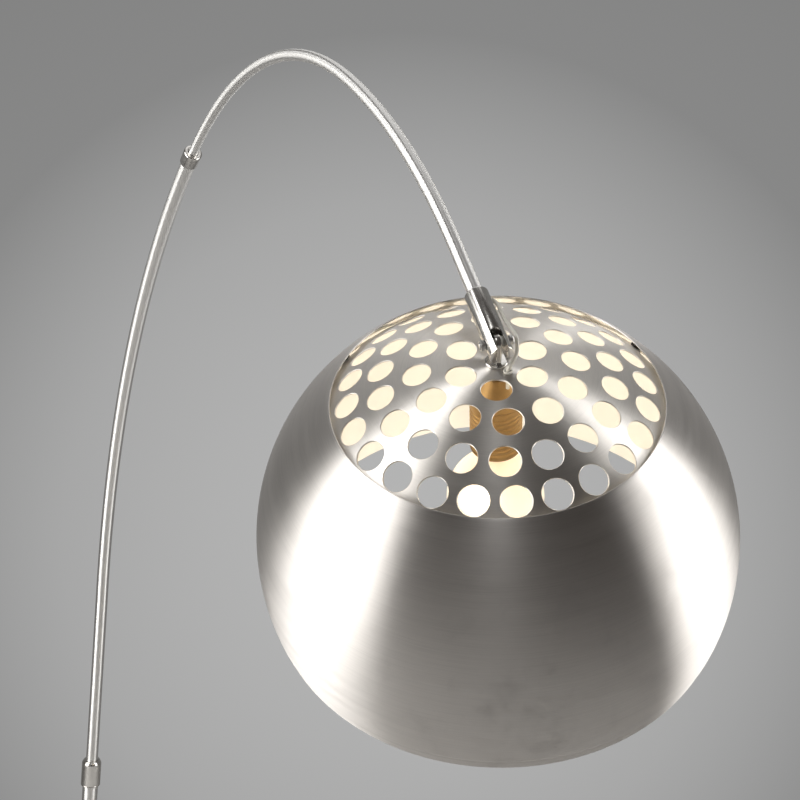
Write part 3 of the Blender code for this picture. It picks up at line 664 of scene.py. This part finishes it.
HEX = [(math.cos(math.radians(60 * k + 30)), math.sin(math.radians(60 * k + 30))) for k in range(6)]


def hexagon(across, depth):
    """A hexagonal prism, across its flats in mm, with a depth in mm."""
    r = across / math.sqrt(3)
    return prism([(x * r, y * r) for x, y in HEX], depth * MM / 2)


# ---------------------------------------------------------------- the foot


def make_foot():
    turned(
        "stone_slab",
        (
            (7, SLAB_TOP),
            (FOOT_R, SLAB_TOP),
            (FOOT_R, SLAB_BOTTOM),
            (RECESS_R, SLAB_BOTTOM),
            (RECESS_R, RECESS_TOP),
            (7, RECESS_TOP),
        ),
        STONE, FLOOR_FRAME, "base", "base_slab", steps=256, fillet=3.0,
    )
    turned(
        "felt_disc",
        ((0, FELT_TOP), (FOOT_R - 4, FELT_TOP), (FOOT_R - 4, 0), (0, 0)),
        FELT, FLOOR_FRAME, "base", "base_felt", steps=128, fillet=0.6,
    )
    turned(
        "foot_flange",
        (
            (12.9, SOCKET_TOP),
            (17.0, SOCKET_TOP),
            (17.0, 76.0),
            (18.2, 69.0),
            (22.0, 64.2),
            (30.0, 61.4),
            (52.0, 57.6),
            (55.0, 56.2),
            (55.0, FLANGE_BOTTOM),
            (6.8, FLANGE_BOTTOM),
            (6.8, SOCKET_FLOOR),
            (12.9, SOCKET_FLOOR),
        ),
        FLANGE, FLOOR_FRAME, "base", "base_flange", steps=160, fillet=1.2,
    )
    gland = turned(
        "foot_gland",
        ((2.4, 3.0), (7.5, 3.0), (7.5, 0.4), (3.6, 0.4), (3.6, -9.0), (2.4, -9.0)),
        GLAND,
        Matrix.Translation((-FOOT_R * MM, 0, LEAD_HEIGHT * MM)) @ turn("Y", -90),
        "base", "lead_gland", steps=48, fillet=0.7,
    )
    carve(gland, [(rod(0.0008, 0.004, 12), gland.matrix_world @ at(7.6, 0, 1.7), "DIFFERENCE")], [GLAND], 0)


# ---------------------------------------------------------------- tubes and collars


def set_screw(name, place, radius, length, body, stands_for):
    """A grub screw with a hexagon socket; its outer end is at the given length."""
    screw = turned(
        name,
        ((0, length), (radius, length), (radius, 0), (0, 0)),
        SCREW, place, body, stands_for, steps=36, fillet=0.4,
    )
    socket = (hexagon(radius, 3.0), place @ at(0, 0, length), "DIFFERENCE")
    carve(screw, [socket], [SCREW], 0.00006)


def collar(name, profile, place, body, stands_for, hole_r, hole_at, fillet):
    piece = turned(name, profile, COLLAR, place, body, stands_for, steps=128, fillet=fillet)
    hole = (rod(hole_r * MM, 0.02, 32), place @ at(*hole_at) @ turn("Y", -90), "DIFFERENCE")
    carve(piece, [hole], [COLLAR], 0.00015)


def make_stand():
    way = (LOWER_LINE[-1] - LOWER_LINE[-2]).normalized()
    lower = [*LOWER_LINE[:-1], LOWER_END + 0.008 * way]
    tube("lower_arm", lower, LOWER_R, LOWER_WALL, FLOOR_FRAME, "post", "lower_tube")
    lean_way = Vector((math.sin(LEAN), 0, math.cos(LEAN)))
    tail = [LOWER_END - MIDDLE_TAIL * lean_way * k / 4 for k in range(4, 0, -1)]
    tube("middle_arm", [*tail, *MIDDLE_LINE], MIDDLE_R, MIDDLE_WALL, COLLAR_FRAME, "middle", "middle_tube")
    start, _ = walk(UPPER_END, UPPER_ANGLE + math.pi, ((TOP_TAIL, -MIDDLE_BEND_R, 10),))
    inner, _ = walk(start[-1], UPPER_ANGLE - TOP_TAIL / MIDDLE_BEND_R, ((TOP_TAIL, MIDDLE_BEND_R, 10),))
    tube("top_arm", [*inner[:-1], *TOP_LINE], TOP_R, TOP_WALL, UPPER_FRAME, "top", "top_tube")
    collar(
        "lower_ring",
        (
            (9.8, 23),
            (12.6, 23),
            (15.6, 18.6),
            (15.6, -18.6),
            (15.25, -19.2),
            (15.6, -19.8),
            (15.6, -21),
            (12.9, -21),
            (12.9, 8.6),
            (9.8, 8.6),
        ),
        COLLAR_FRAME,
        "post",
        "lower_collar",
        2.9,
        (-16, 0, 13.5),
        1.6,
    )
    collar(
        "upper_ring",
        ((6.4, 11.6), (10.7, 11.6), (11.7, 10.2), (11.7, -10), (9.9, -10), (9.9, 0.4), (6.4, 0.4)),
        UPPER_FRAME,
        "middle",
        "upper_collar",
        2.4,
        (-12.5, 0, 6.6),
        0.9,
    )
    sideways = turn("Y", -90)
    lower_place, upper_place = COLLAR_FRAME @ at(-10, 0, 13.5), UPPER_FRAME @ at(-6.6, 0, 6.6)
    set_screw("lower_grub", lower_place @ sideways, 2.5, 6.0, "post", "lower_lock_screw")
    set_screw("upper_grub", upper_place @ sideways, 2.0, 4.4, "middle", "upper_lock_screw")


# ---------------------------------------------------------------- the head's joint


def make_head_joint():
    sleeve = turned(
        "slotted_sleeve",
        (
            (6.4, 49),
            (9.5, 49),
            (9.5, -13),
            (3, -13),
            (3, 19.4),
            (6.4, 19.4),
        ),
        COLLAR, SWIVEL_FRAME, "sleeve", "head_sleeve", steps=144, fillet=1.0,
    )
    arch = [(4.4 * math.cos(a), 3.1 + 4.4 * math.sin(a)) for a in (k * math.pi / 28 for k in range(29))]
    slot = prism([(4.4, -20), *arch, (-4.4, -20)], 0.012)
    tools = (
        (slot, SWIVEL_FRAME @ turn("Z", 90) @ turn("X", 90), "DIFFERENCE"),
        (rod(0.00275, 0.03), SWIVEL_FRAME @ turn("X", 90), "DIFFERENCE"),
        (rod(0.0022, 0.008), SWIVEL_FRAME @ at(0, 9.4, 40.5) @ turn("X", 90), "DIFFERENCE"),
        (rod(0.0024, 0.008), SWIVEL_FRAME @ at(-9.4, 0, 32) @ turn("Y", -90), "DIFFERENCE"),
    )
    carve(sleeve, tools, [COLLAR], 0.00025)
    grub_place = SWIVEL_FRAME @ at(-6.6, 0, 32) @ turn("Y", -90)
    set_screw("sleeve_grub", grub_place, 2.0, 3.4, "sleeve", "sleeve_lock_screw")
    screw = turned(
        "pivot_screw",
        ((0, 12.9), (3.4, 12.9), (4.0, 11.9), (4.0, 9.8), (2.4, 9.8), (2.4, -13.8), (0, -13.8)),
        SCREW,
        SWIVEL_FRAME @ turn("X", -90),
        "sleeve", "tilt_screw", steps=64, fillet=0.6,
    )
    socket = (hexagon(3.0, 4.0), SWIVEL_FRAME @ turn("X", -90) @ at(0, 0, 12.9), "DIFFERENCE")
    carve(screw, [socket], [SCREW], 0.0001)
    nut_place = SWIVEL_FRAME @ at(0, -11.4, 0) @ turn("X", 90)
    nut = object_of(hexagon(8.0, 3.2), "pivot_nut", [SCREW], nut_place, "sleeve", "tilt_nut")
    carve(nut, [(rod(0.00275, 0.01), nut_place, "DIFFERENCE")], [SCREW], 0.0004)


def dome_height(radius):
    """Height of the dome's outer face above the ball's centre: a ball cap, dipped round its crown."""
    t = min(radius / CROWN_DIP_R, 1.0)
    return DOME_CENTRE + math.sqrt(DOME_R**2 - radius**2) - CROWN_DIP * (1 - t * t * (3 - 2 * t))


def dome_slope(radius):
    return math.atan2(dome_height(radius - 0.5) - dome_height(radius + 0.5), 1.0)


def make_hanger():
    crown = dome_height(0)
    foot_top = crown + 3.2
    hanger = turned(
        "hanger",
        (
            (0, foot_top),
            (9.0, foot_top),
            (9.0, crown + 0.35),
            (4.9, crown + 0.35),
            (4.9, 165),
            (0, 165),
        ),
        COLLAR, BALL_FRAME, "head", "shade_hanger", steps=96, fillet=1.1,
    )
    around = [(6.5 * math.sin(a), 6.5 * math.cos(a)) for a in (math.radians(-100 + 5 * k) for k in range(41))]
    low = foot_top - SHADE_DROP - 1.0
    tongue = prism([(-5.2, low), *around, (5.2, low)], 0.0020)
    upright = TILT_FRAME @ turn("X", 90)
    tools = ((tongue, upright, "UNION"), (rod(0.00275, 0.01), upright, "DIFFERENCE"))
    carve(hanger, tools, [COLLAR], 0.0003)


def smooth_route(points, per_span):
    """A Catmull-Rom curve through the points."""
    ends = [2 * points[0] - points[1], *points, 2 * points[-1] - points[-2]]
    route = []
    for before, a, b, after in zip(ends, ends[1:], ends[2:], ends[3:]):
        for k in range(per_span):
            t = k / per_span
            route.append(
                0.5
                * (
                    2 * a
                    + (b - before) * t
                    + (2 * before - 5 * a + 4 * b - after) * t**2
                    + (3 * a - before - 3 * b + after) * t**3
                )
            )
    route.append(points[-1])
    return route


def make_lead():
    """The lead's short outside run, as a mesh tube along a smooth route from the sleeve down to the dome."""
    points = [SWIVEL_FRAME @ (Vector(p) * MM) for p in LEAD_BY_SLEEVE]
    points += [TILT_FRAME @ (Vector(p) * MM) for p in LEAD_BY_SHADE]
    route = smooth_route(points, 7)
    curve = bpy.data.curves.new("lead", "CURVE")
    curve.dimensions = "3D"
    curve.bevel_depth = LEAD_R
    curve.bevel_resolution = 8
    curve.use_fill_caps = True
    spline = curve.splines.new("POLY")
    spline.points.add(len(route) - 1)
    for point, place in zip(spline.points, route):
        point.co = (*place, 1.0)
    guide = linked("lead_guide", curve)
    bpy.context.view_layer.update()
    mesh = bpy.data.meshes.new_from_object(guide.evaluated_get(bpy.context.evaluated_depsgraph_get()))
    bpy.data.objects.remove(guide, do_unlink=True)
    mesh.materials.clear()
    mesh.materials.append(SHEATH)
    mesh.shade_smooth()
    lead = linked("clear_lead", mesh)
    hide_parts("head_lead")
    start = SWIVEL_FRAME @ (Vector(LEAD_BY_SLEEVE[3]) * MM)
    end = TILT_FRAME @ (Vector(LEAD_BY_SHADE[2]) * MM)
    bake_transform(lead)
    length = sum((b - a).length for a, b in zip(route, route[1:]))
    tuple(route[0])
    surface = dome_height(math.hypot(*LEAD_HOLE_AT))
    turned(
        "dome_grommet",
        (
            (1.8, surface + 1.8),
            (3.6, surface + 1.8),
            (3.6, surface + 0.4),
            (2.35, surface + 0.4),
            (2.35, surface - 3.0),
            (1.8, surface - 3.0),
        ),
        SHEATH,
        BALL_FRAME @ at(LEAD_HOLE_AT[0], LEAD_HOLE_AT[1], 0),
        "head", "lead_grommet", steps=48, fillet=0.6,
    )


# ---------------------------------------------------------------- the shade


def hole_places():
    """(place of the hole's centre in the ball's frame, hole radius in mm) for each hole in the dome."""
    places = [
        (radius, DOME_TURN + math.radians(turned_by + 360 / count * k), HOLE_R)
        for radius, count, turned_by in HOLE_RINGS
        for k in range(count)
    ]
    places.append((math.hypot(*LEAD_HOLE_AT), math.atan2(LEAD_HOLE_AT[1], LEAD_HOLE_AT[0]), 2.7))
    for radius, azimuth, hole_r in places:
        stand = Matrix.Translation((radius * MM, 0, dome_height(radius) * MM))
        lean = Matrix.Rotation(dome_slope(radius), 4, "Y")
        yield Matrix.Rotation(azimuth, 4, "Z") @ stand @ lean, hole_r


def dome_normal(x, y, side):
    radius = math.hypot(x, y) / MM
    if radius < 1e-3:
        return Vector((0, 0, side))
    slope = dome_slope(max(radius, 0.6))
    out = math.sin(slope)
    return side * Vector((out * x / (radius * MM), out * y / (radius * MM), math.cos(slope)))


def make_dome():
    """The perforated dome, with the true surface's normals, so that the cut leaves no facets in its shine."""
    steps = 44
    radii = [STEM_HOLE_R + (DOME_EDGE_R - STEM_HOLE_R) * (k / steps) for k in range(steps + 1)]
    outer = [(r, dome_height(r)) for r in radii]
    inner = []
    for r in radii:
        slope = dome_slope(r)
        inner.append((r - DOME_WALL * math.sin(slope), dome_height(r) - DOME_WALL * math.cos(slope)))
    rim = []
    for k in range(1, 4):
        turn_by = dome_slope(DOME_EDGE_R) + math.pi * k / 4
        middle = (Vector(outer[-1]) + Vector(inner[-1])) / 2
        rim.append(tuple(middle + DOME_WALL / 2 * Vector((math.sin(turn_by), math.cos(turn_by)))))
    dome = object_of(
        lathe([*outer, *rim, *inner[::-1]], 192),
        "perforated_cap",
        [DOME_OUTSIDE, SHELL_INSIDE],
        BALL_FRAME, "head", "perforated_dome", smooth=None,
    )
    holes = list(hole_places())
    carve(dome, [(hole_cutters(holes), BALL_FRAME, "DIFFERENCE")], [DOME_OUTSIDE, SHELL_INSIDE], 0)
    give_true_normals(dome.data, holes)


def hole_cutters(holes):
    """One plug for each hole, with a chamfer where it meets the dome's outer face."""
    cutters = bmesh.new()
    for place, radius in holes:
        sag = radius * radius / (2 * DOME_R)
        chamfer = ((radius + 0.45, -sag), (radius, -sag - 0.45))
        profile = ((0, 4.0), (radius + 1.0, 4.0), *chamfer, (radius, -5.0), (0, -5.0))
        one = lathe(profile, 40 if radius > 5 else 24)
        one.transform(place)
        part = bpy.data.meshes.new("one_hole")
        one.to_mesh(part)
        one.free()
        cutters.from_mesh(part)
        bpy.data.meshes.remove(part)
    return cutters


def give_true_normals(mesh, holes):
    """Gives the faces the true surface's normals and their side's finish, and rounds the holes' walls."""
    along_surface = 0.90
    centres = [(place.inverted(), radius) for place, radius in holes]
    normals = [Vector(corner.vector) for corner in mesh.corner_normals]
    for face in mesh.polygons:
        x, y, _ = face.center
        true = dome_normal(x, y, 1.0)
        facing = face.normal.dot(true)
        if abs(facing) < along_surface or math.hypot(x, y) > (DOME_EDGE_R - 0.4) * MM:
            continue
        side = 1.0 if facing > 0 else -1.0
        face.material_index = 0 if side > 0 else 1
        for corner in face.loop_indices:
            co = mesh.vertices[mesh.loops[corner].vertex_index].co
            normals[corner] = dome_normal(co.x, co.y, side)
    for face in mesh.polygons:
        true = dome_normal(face.center.x, face.center.y, 1.0)
        if abs(face.normal.dot(true)) >= along_surface:
            continue
        for inverse, radius in centres:
            local = inverse @ face.center
            if abs(local.z) < 0.004 and math.hypot(local.x, local.y) < (radius + 1.2) * MM:
                turn_out = inverse.to_3x3().inverted()
                tip = (inverse.to_3x3() @ face.normal).z
                for corner in face.loop_indices:
                    spot = inverse @ mesh.vertices[mesh.loops[corner].vertex_index].co
                    flat = -Vector((spot.x, spot.y, 0)).normalized() * math.sqrt(max(0.0, 1 - tip * tip))
                    normals[corner] = turn_out @ Vector((flat.x, flat.y, tip))
                break
    mesh.normals_split_custom_set([n.normalized() for n in normals])


def make_pads():
    """Three rubber pads in the gap between the dome's edge and the shell."""
    pad_angle = math.asin(PAD_R / (SHELL_R - SHELL_WALL))
    inside_shell = (SHELL_R - SHELL_WALL) * math.cos(pad_angle)
    pad_height = (inside_shell + dome_height(PAD_R)) / 2
    for k, name in enumerate(("front", "right", "left")):
        azimuth = DOME_TURN + math.radians(120 * k)
        spot = (PAD_R * math.cos(azimuth), PAD_R * math.sin(azimuth), pad_height)
        lean = Matrix.Rotation((pad_angle + dome_slope(PAD_R)) / 2, 4, "Y")
        shape = bmesh.new()
        bmesh.ops.create_cube(shape, size=1.0)
        bmesh.ops.scale(shape, verts=shape.verts, vec=(0.0100, 0.0052, 0.0035))
        bmesh.ops.bevel(shape, geom=shape.edges[:], offset=0.0008, segments=3, profile=0.5, affect="EDGES")
        place = BALL_FRAME @ at(*spot) @ Matrix.Rotation(azimuth, 4, "Z") @ lean
        object_of(shape, "pad_" + name, [RUBBER], place, "head", "rim_pad_" + name)


def make_shell():
    """The ball shell: brushed outside with a turned line near its mouth, white inside, and rounded rims."""
    span = SHELL_BOTTOM_ANGLE - SHELL_TOP_ANGLE
    line_at = SHELL_BOTTOM_ANGLE - LINE_ABOVE_MOUTH / SHELL_R
    angles = [SHELL_TOP_ANGLE + span * k / 90 for k in range(91)]
    groove = [line_at + d for d in (-0.005, -0.0025, 0, 0.003)]
    angles = sorted([a for a in angles if abs(a - line_at) > 0.006] + groove)

    def outer_r(angle):
        off = angle - line_at
        if abs(off) < 0.004:
            return SHELL_R - LINE_DEPTH
        return SHELL_R - (LIP_DEPTH if off > 0 else 0.0)

    wall = SHELL_WALL - 0.2
    inner_r = SHELL_R - SHELL_WALL
    outer = [(outer_r(a) * math.sin(a), outer_r(a) * math.cos(a)) for a in angles]
    inner = [(inner_r * math.sin(a), inner_r * math.cos(a)) for a in angles[::-1]]
    profile = []
    for end, first, second in ((angles[-1], outer[-1], inner[0]), (angles[0], inner[-1], outer[0])):
        middle = (Vector(first) + Vector(second)) / 2
        away = Vector((math.cos(end), -math.sin(end))) * (1 if end == angles[-1] else -1)
        across = Vector(first) - middle
        bend = []
        for k in range(1, 6):
            t = math.pi * k / 6
            bend.append(tuple(middle + across * math.cos(t) + away * wall / 2 * math.sin(t)))
        profile.append(bend)
    shape = lathe([*outer, *profile[0], *inner, *profile[1]], 256)
    for face in shape.faces:
        if face.normal.dot(face.calc_center_median().normalized()) < -0.5:
            face.material_index = 1
    looks = [SHELL_OUTSIDE, SHELL_INSIDE]
    object_of(shape, "brushed_ball", looks, BALL_FRAME, "shell", "ball_shell", SHELL_SMOOTH)


def make_lampholder():
    turned(
        "holder_bell",
        (
            (5.2, 175.0),
            (8.6, 175.0),
            (12.2, 168.0),
            (16.6, 161.4),
            (20.0, 157.2),
            (21.0, 154.0),
            (21.0, 151.6),
            (19.2, 151.6),
            (18.4, 156.4),
            (11.0, 166.6),
            (7.6, 172.0),
            (5.2, 172.0),
        ),
        BRASS_AND_PAINTED_SHADE, BALL_FRAME, "head", "lampholder_cap", steps=96, fillet=1.0,
    )
    ribs = []
    for k in range(9):
        z = 147.0 - 4.4 * k
        ribs += [(20.6, z + 1.0), (20.6, z - 1.0), (19.9, z - 1.6), (19.9, z - 2.8)]
    turned(
        "holder_body",
        (
            (18.6, 151.2),
            (20.6, 151.2),
            *ribs,
            (20.6, 107.0),
            (20.6, 103.0),
            (14.2, 103.0),
            (14.2, 129.0),
            (5.0, 129.0),
            (5.0, 133.0),
            (18.6, 133.0),
        ),
        BRASS_AND_PAINTED_SHADE, BALL_FRAME, "head", "lampholder_body", steps=96, fillet=0.5,
    )


def make_bulb():
    globe_r, globe_centre, wall = 40.0, 46.0, 1.2

    def arc(radius, angles):
        points = [(radius * math.sin(a), globe_centre + radius * math.cos(a)) for a in angles]
        return [(r if r > 1e-4 else 0.0, z) for r, z in points]

    steps = [math.radians(24 + 156 * k / 44) for k in range(45)]
    neck = [(12.6, 88.0), (11.2, 94.0), (11.2, 101.2), (12.4, 101.2), (12.4, 94.0), (13.9, 87.2)]
    profile = [*arc(globe_r - wall, steps[::-1]), *filleted(neck, 2.0), *arc(globe_r, steps)]
    shape = lathe(profile, 96)
    globe = object_of(
        shape, "opal_globe", [OPAL], BALL_FRAME, "bulb", "bulb_globe", GLOBE_SMOOTH
    )
    globe.visible_shadow = False
    glow = bpy.data.lights.new("bulb_glow", "POINT")
    glow.energy, glow.color, glow.shadow_soft_size = BULB_WATTS, BULB_COLOUR, BULB_SOFTNESS
    source = linked("bulb_glow", glow)
    source.location = BALL_FRAME @ Vector((0, 0, globe_centre * MM))
    source.visible_camera = False
    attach(source, "bulb")

    def thread(angle, height):
        if not 104.0 < height < 120.0:
            return 0.0
        return -0.45 + 0.45 * math.cos(2 * math.pi * height / 3.6 - angle)

    side = [(13.4, 119.4 - 0.3 * k) for k in range(54)]
    tip = ((0, 126.6), (4.6, 126.6), (5.4, 124.6), (10.6, 122.6), (12.9, 120.2))
    cap = lathe((*tip, *side, (12.8, 101.6), (0, 101.6)), 96, wave=thread)
    object_of(cap, "screw_cap", [CAP_METAL], BALL_FRAME, "bulb", "bulb_cap")


def finish_frame_nodes():
    """The small pieces whose CAD shape is right: each gets its finish and a bevel."""
    finishes = {
        "base_bolt": WASHER,
        "base_washer": WASHER,
        "foot_plug": WASHER,
        "lower_guide_bush": NYLON,
        "upper_guide_bush": NYLON,
        "tilt_spacer_left": NYLON,
        "tilt_spacer_right": NYLON,
        "dome_washer": WASHER,
        "dome_lock_nut": WASHER,
        "holder_contact": SPRING_BRASS,
    }
    for name, look in finishes.items():
        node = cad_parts[name]
        node.data.materials.clear()
        node.data.materials.append(look)
        edge = node.modifiers.new("edge", "BEVEL")
        edge.width = 0.00025
        edge.segments = 2
        edge.limit_method = "ANGLE"
        edge.angle_limit = math.radians(40)


# ---------------------------------------------------------------- studio


def area_light(name, place, target, size, power, colour):
    light = bpy.data.lights.new(name, "AREA")
    light.shape = "RECTANGLE"
    light.size, light.size_y = size
    light.energy = power
    light.color = colour
    lamp = linked(name, light)
    lamp.location = place
    lamp.rotation_mode = "QUATERNION"
    lamp.rotation_quaternion = (Vector(target) - Vector(place)).to_track_quat("-Z", "Y")
    lamp.visible_camera = False


def make_camera():
    camera = linked("camera", bpy.data.cameras.new("camera"))
    camera.data.lens = CAMERA_LENS
    camera.data.sensor_width = 36.0
    camera.location = CAMERA_AT
    toward = Matrix.Rotation(CAMERA_AZIMUTH, 4, "Z")
    toward = toward @ Matrix.Rotation(math.radians(90) - CAMERA_PITCH, 4, "X")
    camera.rotation_euler = (toward @ Matrix.Rotation(CAMERA_ROLL, 4, "Z")).to_euler()
    bpy.context.scene.camera = camera


def make_studio():
    """A pale round floor, a grey surround that is lighter behind the lamp, and soft lights round the ball."""
    right = Vector((math.cos(CAMERA_AZIMUTH), math.sin(CAMERA_AZIMUTH), 0))
    back = Vector((math.sin(CAMERA_AZIMUTH), -math.cos(CAMERA_AZIMUTH), 0))
    disc = lathe([(0, 0.0), (FLOOR_R, 0.0)], 128)
    floor = object_of(disc, "floor", [pale_floor("pale_floor")], Matrix(), None, None)
    floor.location.z = -FLOOR_DROP
    ball = BALL_FRAME.translation
    for name, degrees, height, distance, size, watts, colour in SOFT_BOXES:
        a = math.radians(degrees)
        place = ball + distance * (math.sin(a) * right + math.cos(a) * back) + Vector((0, 0, height))
        area_light(name, place, ball, size, watts, colour)
    area_light("top_box", ball + TOP_BOX_FROM_BALL, ball, (1.2, 1.2), 5.0, WHITE)
    make_surround(back)


def make_surround(back):
    """The world's colour by direction, from behind the camera to behind the lamp."""
    world = bpy.data.worlds.new("studio")
    bpy.context.scene.world = world
    world.use_nodes = True
    tree = world.node_tree
    place = tree.nodes.new("ShaderNodeTexCoord")
    dot = tree.nodes.new("ShaderNodeVectorMath")
    dot.operation = "DOT_PRODUCT"
    dot.inputs[1].default_value = (Vector((0, 0, -SURROUND_DIP)) - back).normalized()
    tree.links.new(place.outputs["Generated"], dot.inputs[0])
    half = tree.nodes.new("ShaderNodeMapRange")
    half.inputs["From Min"].default_value = -1.0
    tree.links.new(dot.outputs["Value"], half.inputs["Value"])
    ramp = tree.nodes.new("ShaderNodeValToRGB")
    set_stops(ramp.color_ramp.elements, SURROUND)
    tree.links.new(half.outputs["Result"], ramp.inputs[0])
    tree.links.new(ramp.outputs[0], tree.nodes["Background"].inputs["Color"])
    bpy.context.scene.view_settings.view_transform = "Standard"


make_camera()
make_lead()
make_foot()
make_stand()
make_head_joint()
make_hanger()
make_dome()
make_pads()
make_shell()
make_lampholder()
make_bulb()
finish_frame_nodes()
make_studio()
settle()
